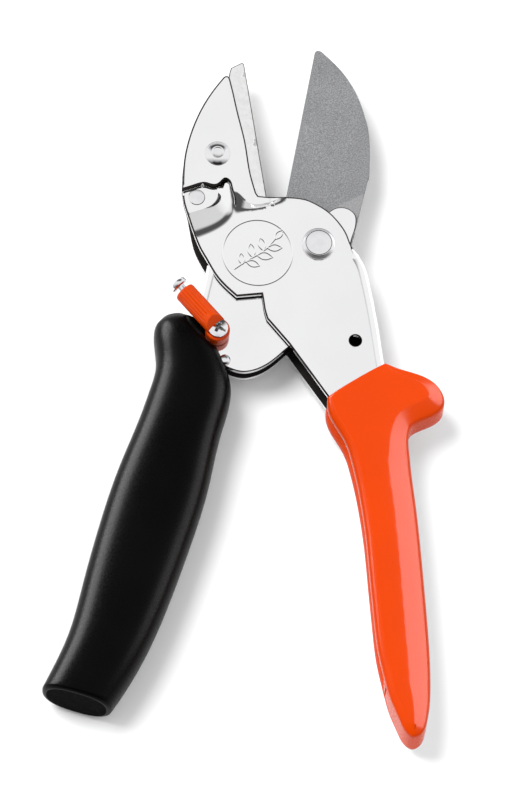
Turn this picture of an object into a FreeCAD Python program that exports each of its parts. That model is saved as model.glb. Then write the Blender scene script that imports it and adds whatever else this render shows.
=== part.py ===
import FreeCAD, Part
import math
import os

"""Anvil pruner, millimetres.

The tool lies on its back: +Z points out of its front face, +Y from the handles to the jaws, and the Z axis
is the pivot's axis.  Z = 0 is the underside of the pivot nut.  It is modelled open.
"""

V = FreeCAD.Vector

# Heights
NUT_T = 3.4
WASHER_T = 0.5
HEAD_HALF = 5.8                 # mid-plane to a head plate's outer face
SHEET = 2.0                     # sheet of the anvil body and of the lever
MID = NUT_T + WASHER_T + HEAD_HALF
JAW_HALF = 4.3                  # mid-plane to a jaw plate's outer face
LEVER_HALF = 3.5
BLADE_HALF = LEVER_HALF - SHEET
COAT_T = 1.5                    # dipped skin on the handle
GRIP_HALF = MID - 0.15          # the grip's back lies just above Z = 0
FOLD_CUT = 1.6                  # the folds' and the dipped rim's rounding, as a chamfer

# Pivot
BOLT_R = 4.0
RUN_GAP = 0.05                  # radial clearance of a running fit
BUSH_R = 5.0
BOLT_HEAD_R = 4.8
BOLT_HEAD_TOP_R = 3.8
BOLT_HEAD_T = 1.8
NUT_FLATS = 12.0
WASHER_R = 6.5
CLOSING_DEG = 19.3

# Jaw and blade: both lines pass the pivot on its left, and are parallel when closed
ANVIL_LEAN = 8.95               # degrees from +Y, to the left
ANVIL_OFFSET = 12.15
BLADE_LEAN = CLOSING_DEG - ANVIL_LEAN
BLADE_OFFSET = 11.85
EDGE_HALF = 0.12                # half thickness left at the cutting edge
GRIND_WIDTH = 16.0              # from the edge to full thickness
GRIND_FROM = 2.7                # where the grind starts along the edge, and how its start slants
GRIND_SLANT = 0.776

# Rivets and holes
ANVIL_RIVET_AT = (-28.9, 28.0)
ANVIL_RIVET_R = 2.0
ANVIL_RIVET_HEAD_R = 3.85
JAW_RIVET_AT = (-34.8, 15.3)
JAW_RIVET_R = 2.6
BLADE_RIVETS_AT = [(-8.0, -1.5), (-13.5, -4.5)]
BLADE_RIVET_R = 1.5
LEVER_RIVET_AT = (-26.8, -35.2)
LEVER_RIVET_R = 1.0
LEVER_RIVET_HEAD_R = 1.7
HANG_HOLE_AT = (10.5, -29.6)
HANG_HOLE_R = 1.8

# Lock
LOCK_AT = (-29.0, -27.4)
LOCK_PARKED_DEG = 131.0         # the strut's direction from +X
LOCK_BORE_R = 1.55
LOCK_SCREW_R = LOCK_BORE_R - RUN_GAP
LOCK_SCREW_HEAD_R = 2.9
LOCK_EYE_R = 3.5
LOCK_EYE_DROP = 0.6             # from the strut's axis down to the eye's top
LOCK_REACH = 18.2               # screw to the stud's outer face
STRUT_R = 3.05
STRUT_Z = MID + 8.8             # height of the strut's axis
STRUT_CLEAR = 0.35              # between the strut's flat underside and the head plate
SLEEVE_FROM = 2.6
SLEEVE_TO = 14.9
RIB_COUNT = 18
STUD_HEAD_R = 2.6
STUD_HEAD_T = 1.8
CATCH_T = 1.2                   # lip that the stud bears on, above the head plate

# Opening spring
SPRING_SEAT = (1.2, -16.2)      # on the lever's edge
SPRING_DIR_DEG = -27.1
SPRING_SPAN = 15.5              # lever's edge to the web
SPRING_R = 2.8                  # mean coil radius
SPRING_WIRE_R = 0.5
SPRING_TURNS = 6
SEAT_R = 3.3
SEAT_T = 1.2
PEG_R = 1.9
PEG_T = 2.5
SEAT_GAP = 0.05                 # between the cup and the web


# ---------------------------------------------------------------- helpers

def vec(point, z=0.0):
    return V(point[0], point[1], z)


def outline(start, *steps):
    """Closed wire: a tuple is a straight run to that point, a list a smooth curve through its points."""
    edges = []
    here = start
    for step in steps:
        if isinstance(step, list):
            curve = Part.BSplineCurve()
            curve.interpolate([vec(p) for p in [here] + step])
            edges.append(curve.toShape())
            here = step[-1]
        else:
            edges.append(Part.makeLine(vec(here), vec(step)))
            here = step
    if here != start:
        edges.append(Part.makeLine(vec(here), vec(start)))
    return Part.Wire(edges)


def slab(wire, low, high):
    solid = Part.Face(wire).extrude(V(0, 0, high - low))
    solid.translate(V(0, 0, low))
    return solid


def disc(radius, low, high, at=(0, 0)):
    return Part.makeCylinder(radius, high - low, vec(at, low))


def mirrored(solid):
    """The same piece on the other side of the mid-plane."""
    return solid.mirror(V(0, 0, MID), V(0, 0, 1))


def both(solid):
    return [solid, mirrored(solid)]


def fused(solids):
    body = solids[0].multiFuse(solids[1:])
    return body.removeSplitter()


def edges_where(solid, test):
    return [e for e in solid.Edges if test(e.CenterOfMass, e)]


def hexagon(flats, low, high, at=(0, 0)):
    radius = flats / math.sqrt(3)
    points = [
        (at[0] + radius * math.cos(math.radians(60 * i)), at[1] + radius * math.sin(math.radians(60 * i)))
        for i in range(6)
    ]
    return slab(outline(points[0], *points[1:]), low, high)


def revolved(profile, at=(0, 0)):
    """Solid of revolution about a vertical axis; the profile holds (radius, height) points."""
    points = [V(r, 0, z) for r, z in profile]
    face = Part.Face(Part.makePolygon(points + points[:1]))
    solid = face.revolve(V(0, 0, 0), V(0, 0, 1), 360)
    solid.translate(vec(at))
    return solid


def along(degrees, distance, start=(0, 0)):
    turn = math.radians(degrees)
    return (start[0] + distance * math.cos(turn), start[1] + distance * math.sin(turn))


# ---------------------------------------------------------------- anvil body

WEB_TOP = -2.2
FOLD_LINE = [(30.3, -132.0), (29.2, -109.0), (26.3, -76.0), (24.0, -60.0), (19.0, -36.0), (16.9, -22.0),
             (14.8, -11.0), (11.6, WEB_TOP)]
JOGGLE = [(-8.2, 14.3), (-10.5, 13.1), (-16.4, 11.6), (-21.4, 11.2), (-25.5, 7.8), (-35.5, 1.9)]


def head_and_handle_outline():
    return outline(
        JOGGLE[-1],
        [(-34.0, -1.9), (-29.4, -10.1), (-23.5, -16.3)],
        (-16.3, -15.5),
        (-14.8, -23.0),
        (-8.5, -30.6),
        (2.7, -46.7),
        [(9.8, -62.0), (13.2, -78.0), (16.3, -105.0), (18.8, -128.0), (23.1, -141.0), (26.2, -147.0)],
        (29.0, -146.5),
        FOLD_LINE,
        (9.9, -1.0),
        [(8.1, 3.5), (3.1, 10.1), (-3.6, 13.9), JOGGLE[0]],
        *JOGGLE[1:],
    )


def channel_void(inset, depth_half, top):
    """Space between the walls, open at the left and the bottom, closed by the web below its top end."""
    fold = [(x - inset, y) for x, y in reversed(FOLD_LINE)]
    fold = [(x, y) for x, y in fold if y < top]
    start = (fold[0][0] - 0.3, top)
    wire = outline((-60, 70), (60, 70), (60, top), start, fold, (30.0 - inset, -160.0), (-60, -160))
    return slab(wire, MID - depth_half, MID + depth_half)


def jaw_plate():
    wire = outline(
        (-38.9, 17.4),
        [(-38.5, 26.2), (-35.8, 36.9), (-31.6, 45.6), (-27.5, 51.4), (-26.4, 52.2), (-25.3, 51.2)],
        [(-22.9, 40.4), (-20.9, 31.8), (-19.4, 22.2), (-17.8, 16.2)],
        (-17.2, 15.2),
        (-7.9, 14.5),
        (-10.0, 11.3),
        (-16.4, 9.6),
        (-21.4, 9.2),
        (-24.2, 11.0),
        (-25.5, 20.1),
        [(-26.7, 20.8), (-28.1, 19.6), (-29.3, 18.7), (-32.5, 19.3), (-38.9, 17.4)],
    )
    return slab(wire, MID + JAW_HALF - SHEET, MID + JAW_HALF)


def joggle_ramp():
    """Wedge between the jaw plate's face and the head plate's face."""
    low = MID + JAW_HALF - 0.3
    wedges = []
    for x, y in JOGGLE[1:4]:
        top = V(x, y, MID + HEAD_HALF)
        foot = V(x, y, low)
        toe = V(x - 0.4, y + 2.0, low)
        wedges.append(Part.makePolygon([top, foot, toe, top]))
    return Part.makeLoft(wedges, True, True)


RAMP_END_HALF = (5.3, 4.0)     # mid-plane to the ramp's top at its last two sections
TAB_FOOT = [(-37.5, 10.2), (-31.9, 12.2), (-28.7, 16.1), (-29.4, 18.6)]
TAB_RAMP_TOP = [
    (-35.5, 1.9, HEAD_HALF),
    (-25.5, 7.8, HEAD_HALF),
    (-24.3, 12.3, RAMP_END_HALF[0]),
    (-25.9, 18.9, RAMP_END_HALF[1]),
]


def tab_plate():
    wire = outline(
        (-38.9, 17.3),
        [(-32.5, 19.2), (-30.9, 18.9), TAB_FOOT[-1]],
        *TAB_FOOT[-2::-1],
        [(-38.5, 13.6), (-38.9, 17.3)],
    )
    return slab(wire, MID, MID + SHEET)


def tab_ramp():
    """Slope from the pressed-in tab up to the head plate and along the slit."""
    sections = []
    for foot, (x, y, height) in zip(TAB_FOOT, TAB_RAMP_TOP):
        corners = [
            vec(foot, MID),
            vec(foot, MID + SHEET),
            vec((x, y), MID + height),
            vec((x, y), MID + height - SHEET),
        ]
        sections.append(Part.makePolygon(corners + corners[:1]))
    return Part.makeLoft(sections, True, True)


def lock_catch():
    """Raised lip on the step edge of the front head plate."""
    wire = outline((-22.2, -16.15), (-16.4, -15.5), (-16.3, -14.1), (-22.4, -14.8))
    return slab(wire, MID + HEAD_HALF - 0.5, MID + HEAD_HALF + CATCH_T)


def make_anvil_body():
    folded = slab(head_and_handle_outline(), MID - HEAD_HALF, MID + HEAD_HALF)
    bends = edges_where(
        folded,
        lambda c, e: abs(abs(c.z - MID) - HEAD_HALF) < 0.01 and e.Length > 100 and c.x > 20,
    )
    folded = folded.makeChamfer(FOLD_CUT, bends)
    folded = folded.cut(channel_void(SHEET, HEAD_HALF - SHEET, WEB_TOP))
    pieces = [folded]
    for piece in (jaw_plate(), tab_plate(), tab_ramp(), joggle_ramp()):
        pieces += both(piece)
    pieces.append(lock_catch())
    body = fused(pieces)
    holes = [
        disc(BOLT_R + RUN_GAP, 0, 30),
        disc(HANG_HOLE_R, 0, 30, HANG_HOLE_AT),
        disc(ANVIL_RIVET_R, 0, 30, ANVIL_RIVET_AT),
        disc(JAW_RIVET_R, 0, 30, JAW_RIVET_AT),
    ]
    return body.cut(holes)


def make_handle_coating(steel):
    wire = outline(
        (2.4, -46.9),
        (15.9, -38.2),
        (18.9, -36.3),
        [(24.8, -38.3), (31.2, -40.4), (35.7, -44.2), (36.1, -48.8), (31.9, -53.0), (27.4, -56.6),
         (26.2, -63.0), (27.2, -74.0), (29.3, -92.4), (31.5, -119.0), (31.8, -135.0), (30.9, -146.0),
         (28.6, -150.8), (25.2, -150.0), (21.3, -142.4), (17.1, -128.0), (14.6, -104.6), (11.3, -76.2),
         (7.2, -60.0), (2.4, -46.9)],
    )
    half = HEAD_HALF + COAT_T
    skin = slab(wire, MID - half, MID + half)
    rims = edges_where(skin, lambda c, e: abs(abs(c.z - MID) - half) < 0.01 and e.Length > 40)
    skin = skin.makeChamfer(FOLD_CUT, rims)
    slot_half = HEAD_HALF - SHEET - COAT_T
    slot = channel_void(SHEET + COAT_T, slot_half, -30)
    stop = slab(outline((-60, -144), (60, -144), (60, -170), (-60, -170)), 0, 30)
    return skin.cut([slot.cut(stop), steel])


def anvil_point(distance, depth=0.0):
    """Point on the anvil's face, or at a depth behind it, at a distance along it from the pivot."""
    lean = math.radians(ANVIL_LEAN)
    across = ANVIL_OFFSET + depth
    return (
        -distance * math.sin(lean) - across * math.cos(lean),
        distance * math.cos(lean) - across * math.sin(lean),
    )


def make_anvil():
    wire = outline(
        anvil_point(14.5),
        anvil_point(59.2),
        anvil_point(59.8, 0.6),
        anvil_point(58.6, 3.9),
        anvil_point(57.1, 4.7),
        anvil_point(45.0, 8.5),
        anvil_point(38.0, 13.6),
        [anvil_point(34.0, 15.5), anvil_point(29.0, 15.0), anvil_point(25.5, 11.0)],
        anvil_point(20.0, 6.5),
        anvil_point(14.5, 3.0),
    )
    half = JAW_HALF - SHEET
    bar = slab(wire, MID - half, MID + half)
    face_edges = edges_where(
        bar,
        lambda c, e: abs(abs(c.z - MID) - half) < 0.01 and e.Length > 40 and c.x > -19,
    )
    bar = bar.makeChamfer(0.7, face_edges)
    return bar.cut(disc(ANVIL_RIVET_R, 0, 30, ANVIL_RIVET_AT))


def make_anvil_rivet():
    profile = [
        (0, MID - JAW_HALF - 1.2),
        (2.4, MID - JAW_HALF - 1.2),
        (ANVIL_RIVET_HEAD_R, MID - JAW_HALF - 0.5),
        (ANVIL_RIVET_HEAD_R, MID - JAW_HALF),
        (ANVIL_RIVET_R, MID - JAW_HALF),
        (ANVIL_RIVET_R, MID + JAW_HALF),
        (ANVIL_RIVET_HEAD_R, MID + JAW_HALF),
        (ANVIL_RIVET_HEAD_R - 0.2, MID + JAW_HALF + 0.5),
        (2.6, MID + JAW_HALF + 1.1),
        (1.6, MID + JAW_HALF + 0.8),
        (0, MID + JAW_HALF + 0.8),
    ]
    return revolved(profile, ANVIL_RIVET_AT)


def make_jaw_rivet():
    return disc(JAW_RIVET_R, MID - SHEET - 0.25, MID + SHEET + 0.25, JAW_RIVET_AT)


# ---------------------------------------------------------------- pivot

def make_pivot_bolt():
    top = MID + HEAD_HALF
    profile = [
        (0, 0),
        (BOLT_R - 0.4, 0),
        (BOLT_R, 0.4),
        (BOLT_R, top),
        (BOLT_HEAD_R, top),
        (BOLT_HEAD_R, top + 0.6),
        (BOLT_HEAD_TOP_R, top + BOLT_HEAD_T),
        (0, top + BOLT_HEAD_T),
    ]
    return revolved(profile)


def make_pivot_nut():
    nut = hexagon(NUT_FLATS, 0, NUT_T)
    corner = NUT_FLATS / math.sqrt(3)
    chamfer = revolved([
        (0, 0),
        (NUT_FLATS / 2, 0),
        (corner + 0.2, 0.9),
        (corner + 0.2, NUT_T),
        (0, NUT_T),
    ])
    return nut.common(chamfer).cut(disc(BOLT_R, -1, NUT_T + 1))


def make_pivot_washer():
    washer = disc(WASHER_R, NUT_T, NUT_T + WASHER_T)
    return washer.cut(disc(BOLT_R + RUN_GAP, 0, 10))


def make_pivot_bush():
    bush = disc(BUSH_R, MID - LEVER_HALF, MID + LEVER_HALF)
    return bush.cut(disc(BOLT_R + RUN_GAP, 0, 30))


# ---------------------------------------------------------------- lever

LEVER_FOLD = [(-33.7, -14.4), (-38.0, -32.0), (-42.5, -48.0), (-47.5, -66.0), (-51.0, -79.0)]
LEVER_TOP_LEFT = (-31.8, -5.9)


def lever_outline():
    return outline(
        LEVER_TOP_LEFT,
        (-14.0, 1.5),
        [(-6.0, 7.8), (0.0, 10.2), (3.2, 11.1)],
        [(4.5, 12.0), (7.1, 12.5), (10.0, 11.2), (11.0, 8.2), (10.4, 4.9), (9.5, 1.9), (9.35, -0.9)],
        [(8.0, -4.9), (5.5, -7.8)],
        (-4.5, -27.3),
        (-9.7, -31.9),
        [(-14.5, -36.1), (-21.0, -38.6), (-26.8, -37.0)],
        (-30.5, -38.5),
        [(-32.0, -46.0), (-36.0, -62.0), (-40.0, -76.5)],
        LEVER_FOLD[-1],
        LEVER_FOLD[-2::-1] + [LEVER_TOP_LEFT],
    )


def lever_envelope():
    whole = slab(lever_outline(), MID - LEVER_HALF, MID + LEVER_HALF)
    bends = edges_where(
        whole,
        lambda c, e: abs(abs(c.z - MID) - LEVER_HALF) < 0.01 and e.Length > 70,
    )
    return whole.makeChamfer(FOLD_CUT, bends)


def make_lever_frame():
    fold = [(x + SHEET, y) for x, y in [LEVER_TOP_LEFT] + LEVER_FOLD]
    wire = outline((30, 20), (fold[0][0], 20), fold[0], fold[1:], (-48.0, -95), (30, -95))
    void = slab(wire, MID - BLADE_HALF, MID + BLADE_HALF)
    holes = [disc(BUSH_R, 0, 30), disc(LEVER_RIVET_R, 0, 30, LEVER_RIVET_AT)]
    holes += [disc(BLADE_RIVET_R, 0, 30, at) for at in BLADE_RIVETS_AT]
    holes.append(disc(LOCK_SCREW_R, MID, 30, LOCK_AT))
    return lever_envelope().cut([void] + holes)


def edge_point(distance, depth=0.0):
    """Point on the cutting edge, or at a depth behind it, at a distance along it from the pivot."""
    lean = math.radians(BLADE_LEAN)
    across = depth - BLADE_OFFSET
    return (
        distance * math.sin(lean) + across * math.cos(lean),
        distance * math.cos(lean) - across * math.sin(lean),
    )


def grind_cutter():
    """Wedge that thins the blade's front towards the edge, from a slanted line above the lug to the tip."""
    section = []
    for depth, height in ((-1.0, EDGE_HALF), (0.0, EDGE_HALF), (GRIND_WIDTH, BLADE_HALF), (-1.0, BLADE_HALF)):
        section.append((depth, MID + height))
    start = []
    end = []
    for depth, z in section:
        start.append(vec(edge_point(GRIND_FROM + GRIND_SLANT * depth, depth), z))
        end.append(vec(edge_point(70.0, depth), z))
    wires = [Part.makePolygon(points + points[:1]) for points in (start, end)]
    return Part.makeLoft(wires, True, True)


def make_blade():
    wire = outline(
        edge_point(8.0),
        edge_point(60.6),
        [edge_point(61.4, 0.9), (1.9, 61.0), (5.2, 57.6), (10.1, 50.6), (13.4, 41.7), (14.9, 31.2),
         (14.8, 22.5), (12.1, 12.0), (9.7, 1.9), (9.2, -0.9)],
        [(8.0, -4.6), (4.5, -7.6), (0.0, -9.0)],
        (-14.0, -9.5),
        [(-17.2, -7.0), (-16.5, -2.5), (-14.0, -0.5)],
    )
    blade = slab(wire, MID - BLADE_HALF, MID + BLADE_HALF)
    cutter = grind_cutter()
    holes = [disc(BUSH_R, 0, 30)] + [disc(BLADE_RIVET_R, 0, 30, at) for at in BLADE_RIVETS_AT]
    return blade.cut([cutter, mirrored(cutter)] + holes)


def make_blade_rivets():
    rivets = [disc(BLADE_RIVET_R, MID - LEVER_HALF, MID + LEVER_HALF, at) for at in BLADE_RIVETS_AT]
    return Part.makeCompound(rivets)


def make_lever_rivet():
    top = MID + LEVER_HALF
    low = MID - LEVER_HALF
    profile = [
        (0, low - 0.6),
        (LEVER_RIVET_HEAD_R - 0.3, low - 0.6),
        (LEVER_RIVET_HEAD_R, low),
        (LEVER_RIVET_R, low),
        (LEVER_RIVET_R, top),
        (LEVER_RIVET_HEAD_R, top),
        (LEVER_RIVET_HEAD_R - 0.1, top + 0.5),
        (LEVER_RIVET_HEAD_R * 0.6, top + 1.0),
        (0, top + 1.15),
    ]
    return revolved(profile, LEVER_RIVET_AT)


# Stations of the grip: centre, turn of the section from +X in degrees, half width, half thickness
GRIP_STATIONS = [
    ((-41.6, -20.9), 8, 3.6, 4.6),
    ((-40.6, -22.6), 10, 6.2, 7.0),
    ((-39.0, -27.5), 10, 8.0, 8.9),
    ((-36.9, -36.0), 4, 10.0, 9.6),
    ((-36.7, -43.5), 0, 11.6, GRIP_HALF),
    ((-39.5, -54.5), -5, 12.0, GRIP_HALF),
    ((-44.1, -70.5), -11, 13.1, GRIP_HALF),
    ((-49.6, -88.7), -15, 13.3, GRIP_HALF),
    ((-54.8, -106.1), -15, 12.6, GRIP_HALF),
    ((-60.3, -121.7), -17, 11.5, 9.5),
    ((-66.6, -134.9), -17, 10.7, 9.2),
    ((-68.6, -138.3), -17, 10.6, 8.8),
]
GRIP_SQUARENESS = 2.5


def grip_section(centre, turn, half_width, half_thickness):
    """Rounded-square section: a superellipse, upright across the grip."""
    count = 16
    points = []
    for i in range(count):
        angle = 2 * math.pi * (i + 0.5) / count
        c = math.cos(angle)
        s = math.sin(angle)
        across = half_width * math.copysign(abs(c) ** (2 / GRIP_SQUARENESS), c)
        up = half_thickness * math.copysign(abs(s) ** (2 / GRIP_SQUARENESS), s)
        points.append(vec(along(turn, across, centre), MID + up))
    curve = Part.BSplineCurve()
    curve.interpolate(points, True)
    return Part.Wire([curve.toShape()])


def make_grip():
    grip = Part.makeLoft([grip_section(*station) for station in GRIP_STATIONS], True, False)
    eye_room = disc(LOCK_EYE_R + 0.4, MID + LEVER_HALF, 40, LOCK_AT)
    strut_room = Part.makeCylinder(STRUT_R + 0.4, LOCK_REACH + 4, vec(LOCK_AT, STRUT_Z), strut_direction())
    rivet_room = disc(LEVER_RIVET_HEAD_R, MID - LEVER_HALF - 0.6, MID + LEVER_HALF + 1.2, LEVER_RIVET_AT)
    return grip.cut([lever_envelope(), eye_room, strut_room, rivet_room])


# ---------------------------------------------------------------- opening spring

def spring_direction():
    return vec(along(SPRING_DIR_DEG, 1.0))


def spring_place(distance):
    return vec(along(SPRING_DIR_DEG, distance, SPRING_SEAT), MID)


def make_opening_spring():
    length = SPRING_SPAN - 2 * SEAT_T - 2 * SPRING_WIRE_R - 0.1
    helix = Part.makeHelix(length / SPRING_TURNS, length, SPRING_R)
    circle = Part.makeCircle(SPRING_WIRE_R, V(SPRING_R, 0, 0), V(0, 1, 0))
    coil = Part.Wire(helix).makePipeShell([Part.Wire(circle)], True, True)
    turn = FreeCAD.Rotation(V(0, 0, 1), spring_direction())
    start = spring_place(SEAT_T + SPRING_WIRE_R + 0.05)
    coil.Placement = FreeCAD.Placement(start, turn)
    return coil


def make_spring_cup():
    """Seat against the web, with a peg inside the coil."""
    seat = Part.makeCylinder(SEAT_R, SEAT_T + 1.5, spring_place(SPRING_SPAN - SEAT_T), spring_direction())
    peg = Part.makeCylinder(PEG_R, PEG_T, spring_place(SPRING_SPAN - SEAT_T - PEG_T), spring_direction())
    web_side = channel_void(SHEET + SEAT_GAP, HEAD_HALF - SHEET, -10)
    return fused([seat, peg]).common(web_side)


def make_spring_button():
    """Seat on the lever's edge, with a tongue between the lever's walls."""
    seat = Part.makeCylinder(SEAT_R, SEAT_T, spring_place(0.0), spring_direction())
    peg = Part.makeCylinder(PEG_R, PEG_T, spring_place(SEAT_T), spring_direction())
    tongue = Part.makeBox(4.0, 5.0, 2 * BLADE_HALF, V(-4.0, -2.5, -BLADE_HALF))
    tongue.rotate(V(0, 0, 0), V(0, 0, 1), SPRING_DIR_DEG)
    tongue.translate(spring_place(0.0))
    return fused([seat, peg, tongue])


# ---------------------------------------------------------------- lock

def strut_direction():
    return vec(along(LOCK_PARKED_DEG, 1.0))


def strut_place(distance):
    return vec(along(LOCK_PARKED_DEG, distance, LOCK_AT), STRUT_Z)


def along_strut(solid):
    """Moves a piece made along +Z from the origin onto the strut's axis."""
    solid.rotate(V(0, 0, 0), V(0, 1, 0), 90)
    solid.rotate(V(0, 0, 0), V(0, 0, 1), LOCK_PARKED_DEG)
    solid.translate(vec(LOCK_AT, STRUT_Z))
    return solid


def ribbed_sleeve():
    points = []
    for i in range(2 * RIB_COUNT):
        radius = STRUT_R if i % 2 == 0 else STRUT_R - 0.3
        points.append(along(180.0 * i / RIB_COUNT, radius))
    sleeve = slab(outline(points[0], *points[1:]), SLEEVE_FROM, SLEEVE_TO)
    return along_strut(sleeve)


def make_lock_lever():
    low = MID + LEVER_HALF + 0.2
    top = STRUT_Z - LOCK_EYE_DROP
    eye = disc(LOCK_EYE_R, low, top, LOCK_AT)
    flat = MID + HEAD_HALF + STRUT_CLEAR
    under = disc(40, 0, flat, LOCK_AT).cut(disc(LOCK_EYE_R, 0, 40, LOCK_AT))
    recess = disc(LOCK_SCREW_HEAD_R + 0.25, top, 40, LOCK_AT)
    stud_bore = Part.makeCylinder(1.5, 8.0, strut_place(SLEEVE_TO - 6.0), strut_direction())
    cuts = [under, recess, disc(LOCK_BORE_R, 0, 40, LOCK_AT), stud_bore]
    return fused([eye, ribbed_sleeve()]).cut(cuts)


def make_lock_stud():
    """Threaded shank in the sleeve, neck, and slotted head."""
    head_from = LOCK_REACH - STUD_HEAD_T
    shank = Part.makeCylinder(1.5, 6.0, V(0, 0, SLEEVE_TO - 6.0))
    neck = Part.makeCylinder(1.2, head_from - SLEEVE_TO + 0.2, V(0, 0, SLEEVE_TO - 0.1))
    head = Part.makeCylinder(STUD_HEAD_R, STUD_HEAD_T, V(0, 0, head_from))
    head = head.makeChamfer(0.3, head.Edges)
    slot = Part.makeBox(0.8, 8.0, 1.0, V(-0.4, -4.0, LOCK_REACH - 0.9))
    return along_strut(fused([shank, neck, head]).cut(slot))


def make_lock_screw():
    seat = STRUT_Z
    profile = [
        (0, MID + BLADE_HALF - 2.4),
        (LOCK_SCREW_R, MID + BLADE_HALF - 2.4),
        (LOCK_SCREW_R, seat),
        (LOCK_SCREW_HEAD_R, seat),
        (LOCK_SCREW_HEAD_R, seat + 0.7),
        (LOCK_SCREW_HEAD_R - 0.7, seat + 1.4),
        (0, seat + 1.7),
    ]
    screw = revolved(profile, LOCK_AT)
    for turn in (25, 115):
        cross = Part.makeBox(3.4, 0.7, 2.0, V(-1.7, -0.35, 0))
        cross.rotate(V(0, 0, 0), V(0, 0, 1), turn)
        cross.translate(vec(LOCK_AT, seat + 0.8))
        screw = screw.cut(cross)
    return screw


def make_lock_washer():
    washer = disc(LOCK_SCREW_HEAD_R - 0.1, STRUT_Z - 0.4, STRUT_Z, LOCK_AT)
    return washer.cut(disc(LOCK_SCREW_R, 0, 40, LOCK_AT))


def make_lock_nut():
    nut = hexagon(5.5, MID + BLADE_HALF - 2.4, MID + BLADE_HALF, LOCK_AT)
    return nut.cut(disc(LOCK_SCREW_R, 0, 40, LOCK_AT))


# ---------------------------------------------------------------- assembly

def main():
    os.makedirs("parts", exist_ok=True)
    steel = make_anvil_body()
    parts = {
        "anvil_body_shell": steel,
        "handle_coating": make_handle_coating(steel),
        "anvil": make_anvil(),
        "anvil_rivet": make_anvil_rivet(),
        "jaw_rivet": make_jaw_rivet(),
        "pivot_bolt": make_pivot_bolt(),
        "pivot_nut": make_pivot_nut(),
        "pivot_washer": make_pivot_washer(),
        "pivot_bush": make_pivot_bush(),
        "lever_frame": make_lever_frame(),
        "blade": make_blade(),
        "blade_rivets": make_blade_rivets(),
        "lever_rivet": make_lever_rivet(),
        "grip": make_grip(),
        "opening_spring": make_opening_spring(),
        "spring_cup": make_spring_cup(),
        "spring_button": make_spring_button(),
        "lock_lever": make_lock_lever(),
        "lock_stud": make_lock_stud(),
        "lock_screw": make_lock_screw(),
        "lock_washer": make_lock_washer(),
        "lock_nut": make_lock_nut(),
    }
    for name, shape in parts.items():
        print(name, "valid" if shape.isValid() else "NOT VALID", len(shape.Solids), round(shape.Volume, 1))
        shape.exportStep(f"parts/{name}.step")


main()
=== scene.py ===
from math import copysign, cos, hypot, pi, radians, sin, sqrt

import bpy
import numpy as np
from numpy.linalg import norm
from mathutils import Matrix, Vector
from mathutils.geometry import delaunay_2d_cdt


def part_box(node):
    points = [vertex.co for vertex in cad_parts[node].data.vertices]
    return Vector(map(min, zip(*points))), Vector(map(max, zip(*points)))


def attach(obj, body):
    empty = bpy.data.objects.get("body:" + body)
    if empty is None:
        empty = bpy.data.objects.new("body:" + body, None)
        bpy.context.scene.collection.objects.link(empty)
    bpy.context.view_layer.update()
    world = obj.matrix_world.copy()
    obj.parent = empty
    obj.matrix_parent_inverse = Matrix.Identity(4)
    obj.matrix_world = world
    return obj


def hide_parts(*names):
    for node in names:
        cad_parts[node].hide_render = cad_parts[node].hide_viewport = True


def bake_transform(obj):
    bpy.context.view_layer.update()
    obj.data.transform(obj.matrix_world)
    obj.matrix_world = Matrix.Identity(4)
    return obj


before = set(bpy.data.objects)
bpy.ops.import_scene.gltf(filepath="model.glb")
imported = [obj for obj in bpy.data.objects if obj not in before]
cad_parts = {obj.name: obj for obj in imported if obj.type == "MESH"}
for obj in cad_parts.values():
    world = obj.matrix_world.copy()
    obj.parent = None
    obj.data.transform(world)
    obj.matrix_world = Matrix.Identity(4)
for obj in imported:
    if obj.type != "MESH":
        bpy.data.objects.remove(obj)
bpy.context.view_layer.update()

# Pieces are in millimetres, with heights from the mid-plane between the head plates; build() turns them into
# the frame's metres.  Floor, lamps and camera are in metres.
MM = 0.001
PER_METRE = 1000.0
MID = sum(corner[2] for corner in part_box("pivot_bush")) / 2 / MM
HEAD = 5.8                      # mid-plane to a head plate's outer face
JAW = 4.3                       # the same on the jaw
TAB = 2.0                       # the same on the pressed-in tab
SHEET = 2.0
LEVER = 3.5
BLADE = LEVER - SHEET
FOLD_R = 2.9                    # outer radius of a folded edge
COAT = HEAD + 1.5               # outside of the dipped skin
COAT_INSIDE = HEAD - SHEET - 1.5
COAT_WALL = 3.5                 # steel and skin together
WEB_TOP = -2.2                  # Y of the top end of the web


# ---------------- curves

def cubic(points, step):
    """Smooth curve through the points, as points about one step apart, both ends included."""
    p = np.array(points, float)
    chord = np.r_[0, np.cumsum(norm(np.diff(p, axis=0), axis=1))]
    n = len(p)
    a = np.zeros((n, n))
    rhs = np.zeros((n, p.shape[1]))
    a[0, 0] = a[-1, -1] = 1
    h = np.diff(chord)
    for i in range(1, n - 1):
        a[i, i - 1:i + 2] = h[i - 1], 2 * (h[i - 1] + h[i]), h[i]
        rhs[i] = 6 * ((p[i + 1] - p[i]) / h[i] - (p[i] - p[i - 1]) / h[i - 1])
    m = np.linalg.solve(a, rhs)
    out = []
    for t in np.linspace(0.0, chord[-1], max(2, int(round(chord[-1] / step)) + 1)):
        i = min(max(np.searchsorted(chord, t) - 1, 0), n - 2)
        u, w = chord[i + 1] - t, t - chord[i]
        out.append(
            m[i] * u**3 / (6 * h[i]) + m[i + 1] * w**3 / (6 * h[i])
            + (p[i] / h[i] - m[i] * h[i] / 6) * u + (p[i + 1] / h[i] - m[i + 1] * h[i] / 6) * w
        )
    return out


def straight(begin, end, step):
    """Points about one step apart after begin, up to end."""
    count = max(1, int(round(norm(end - begin) / step)))
    return [begin + (end - begin) * k / count for k in range(1, count + 1)]


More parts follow.
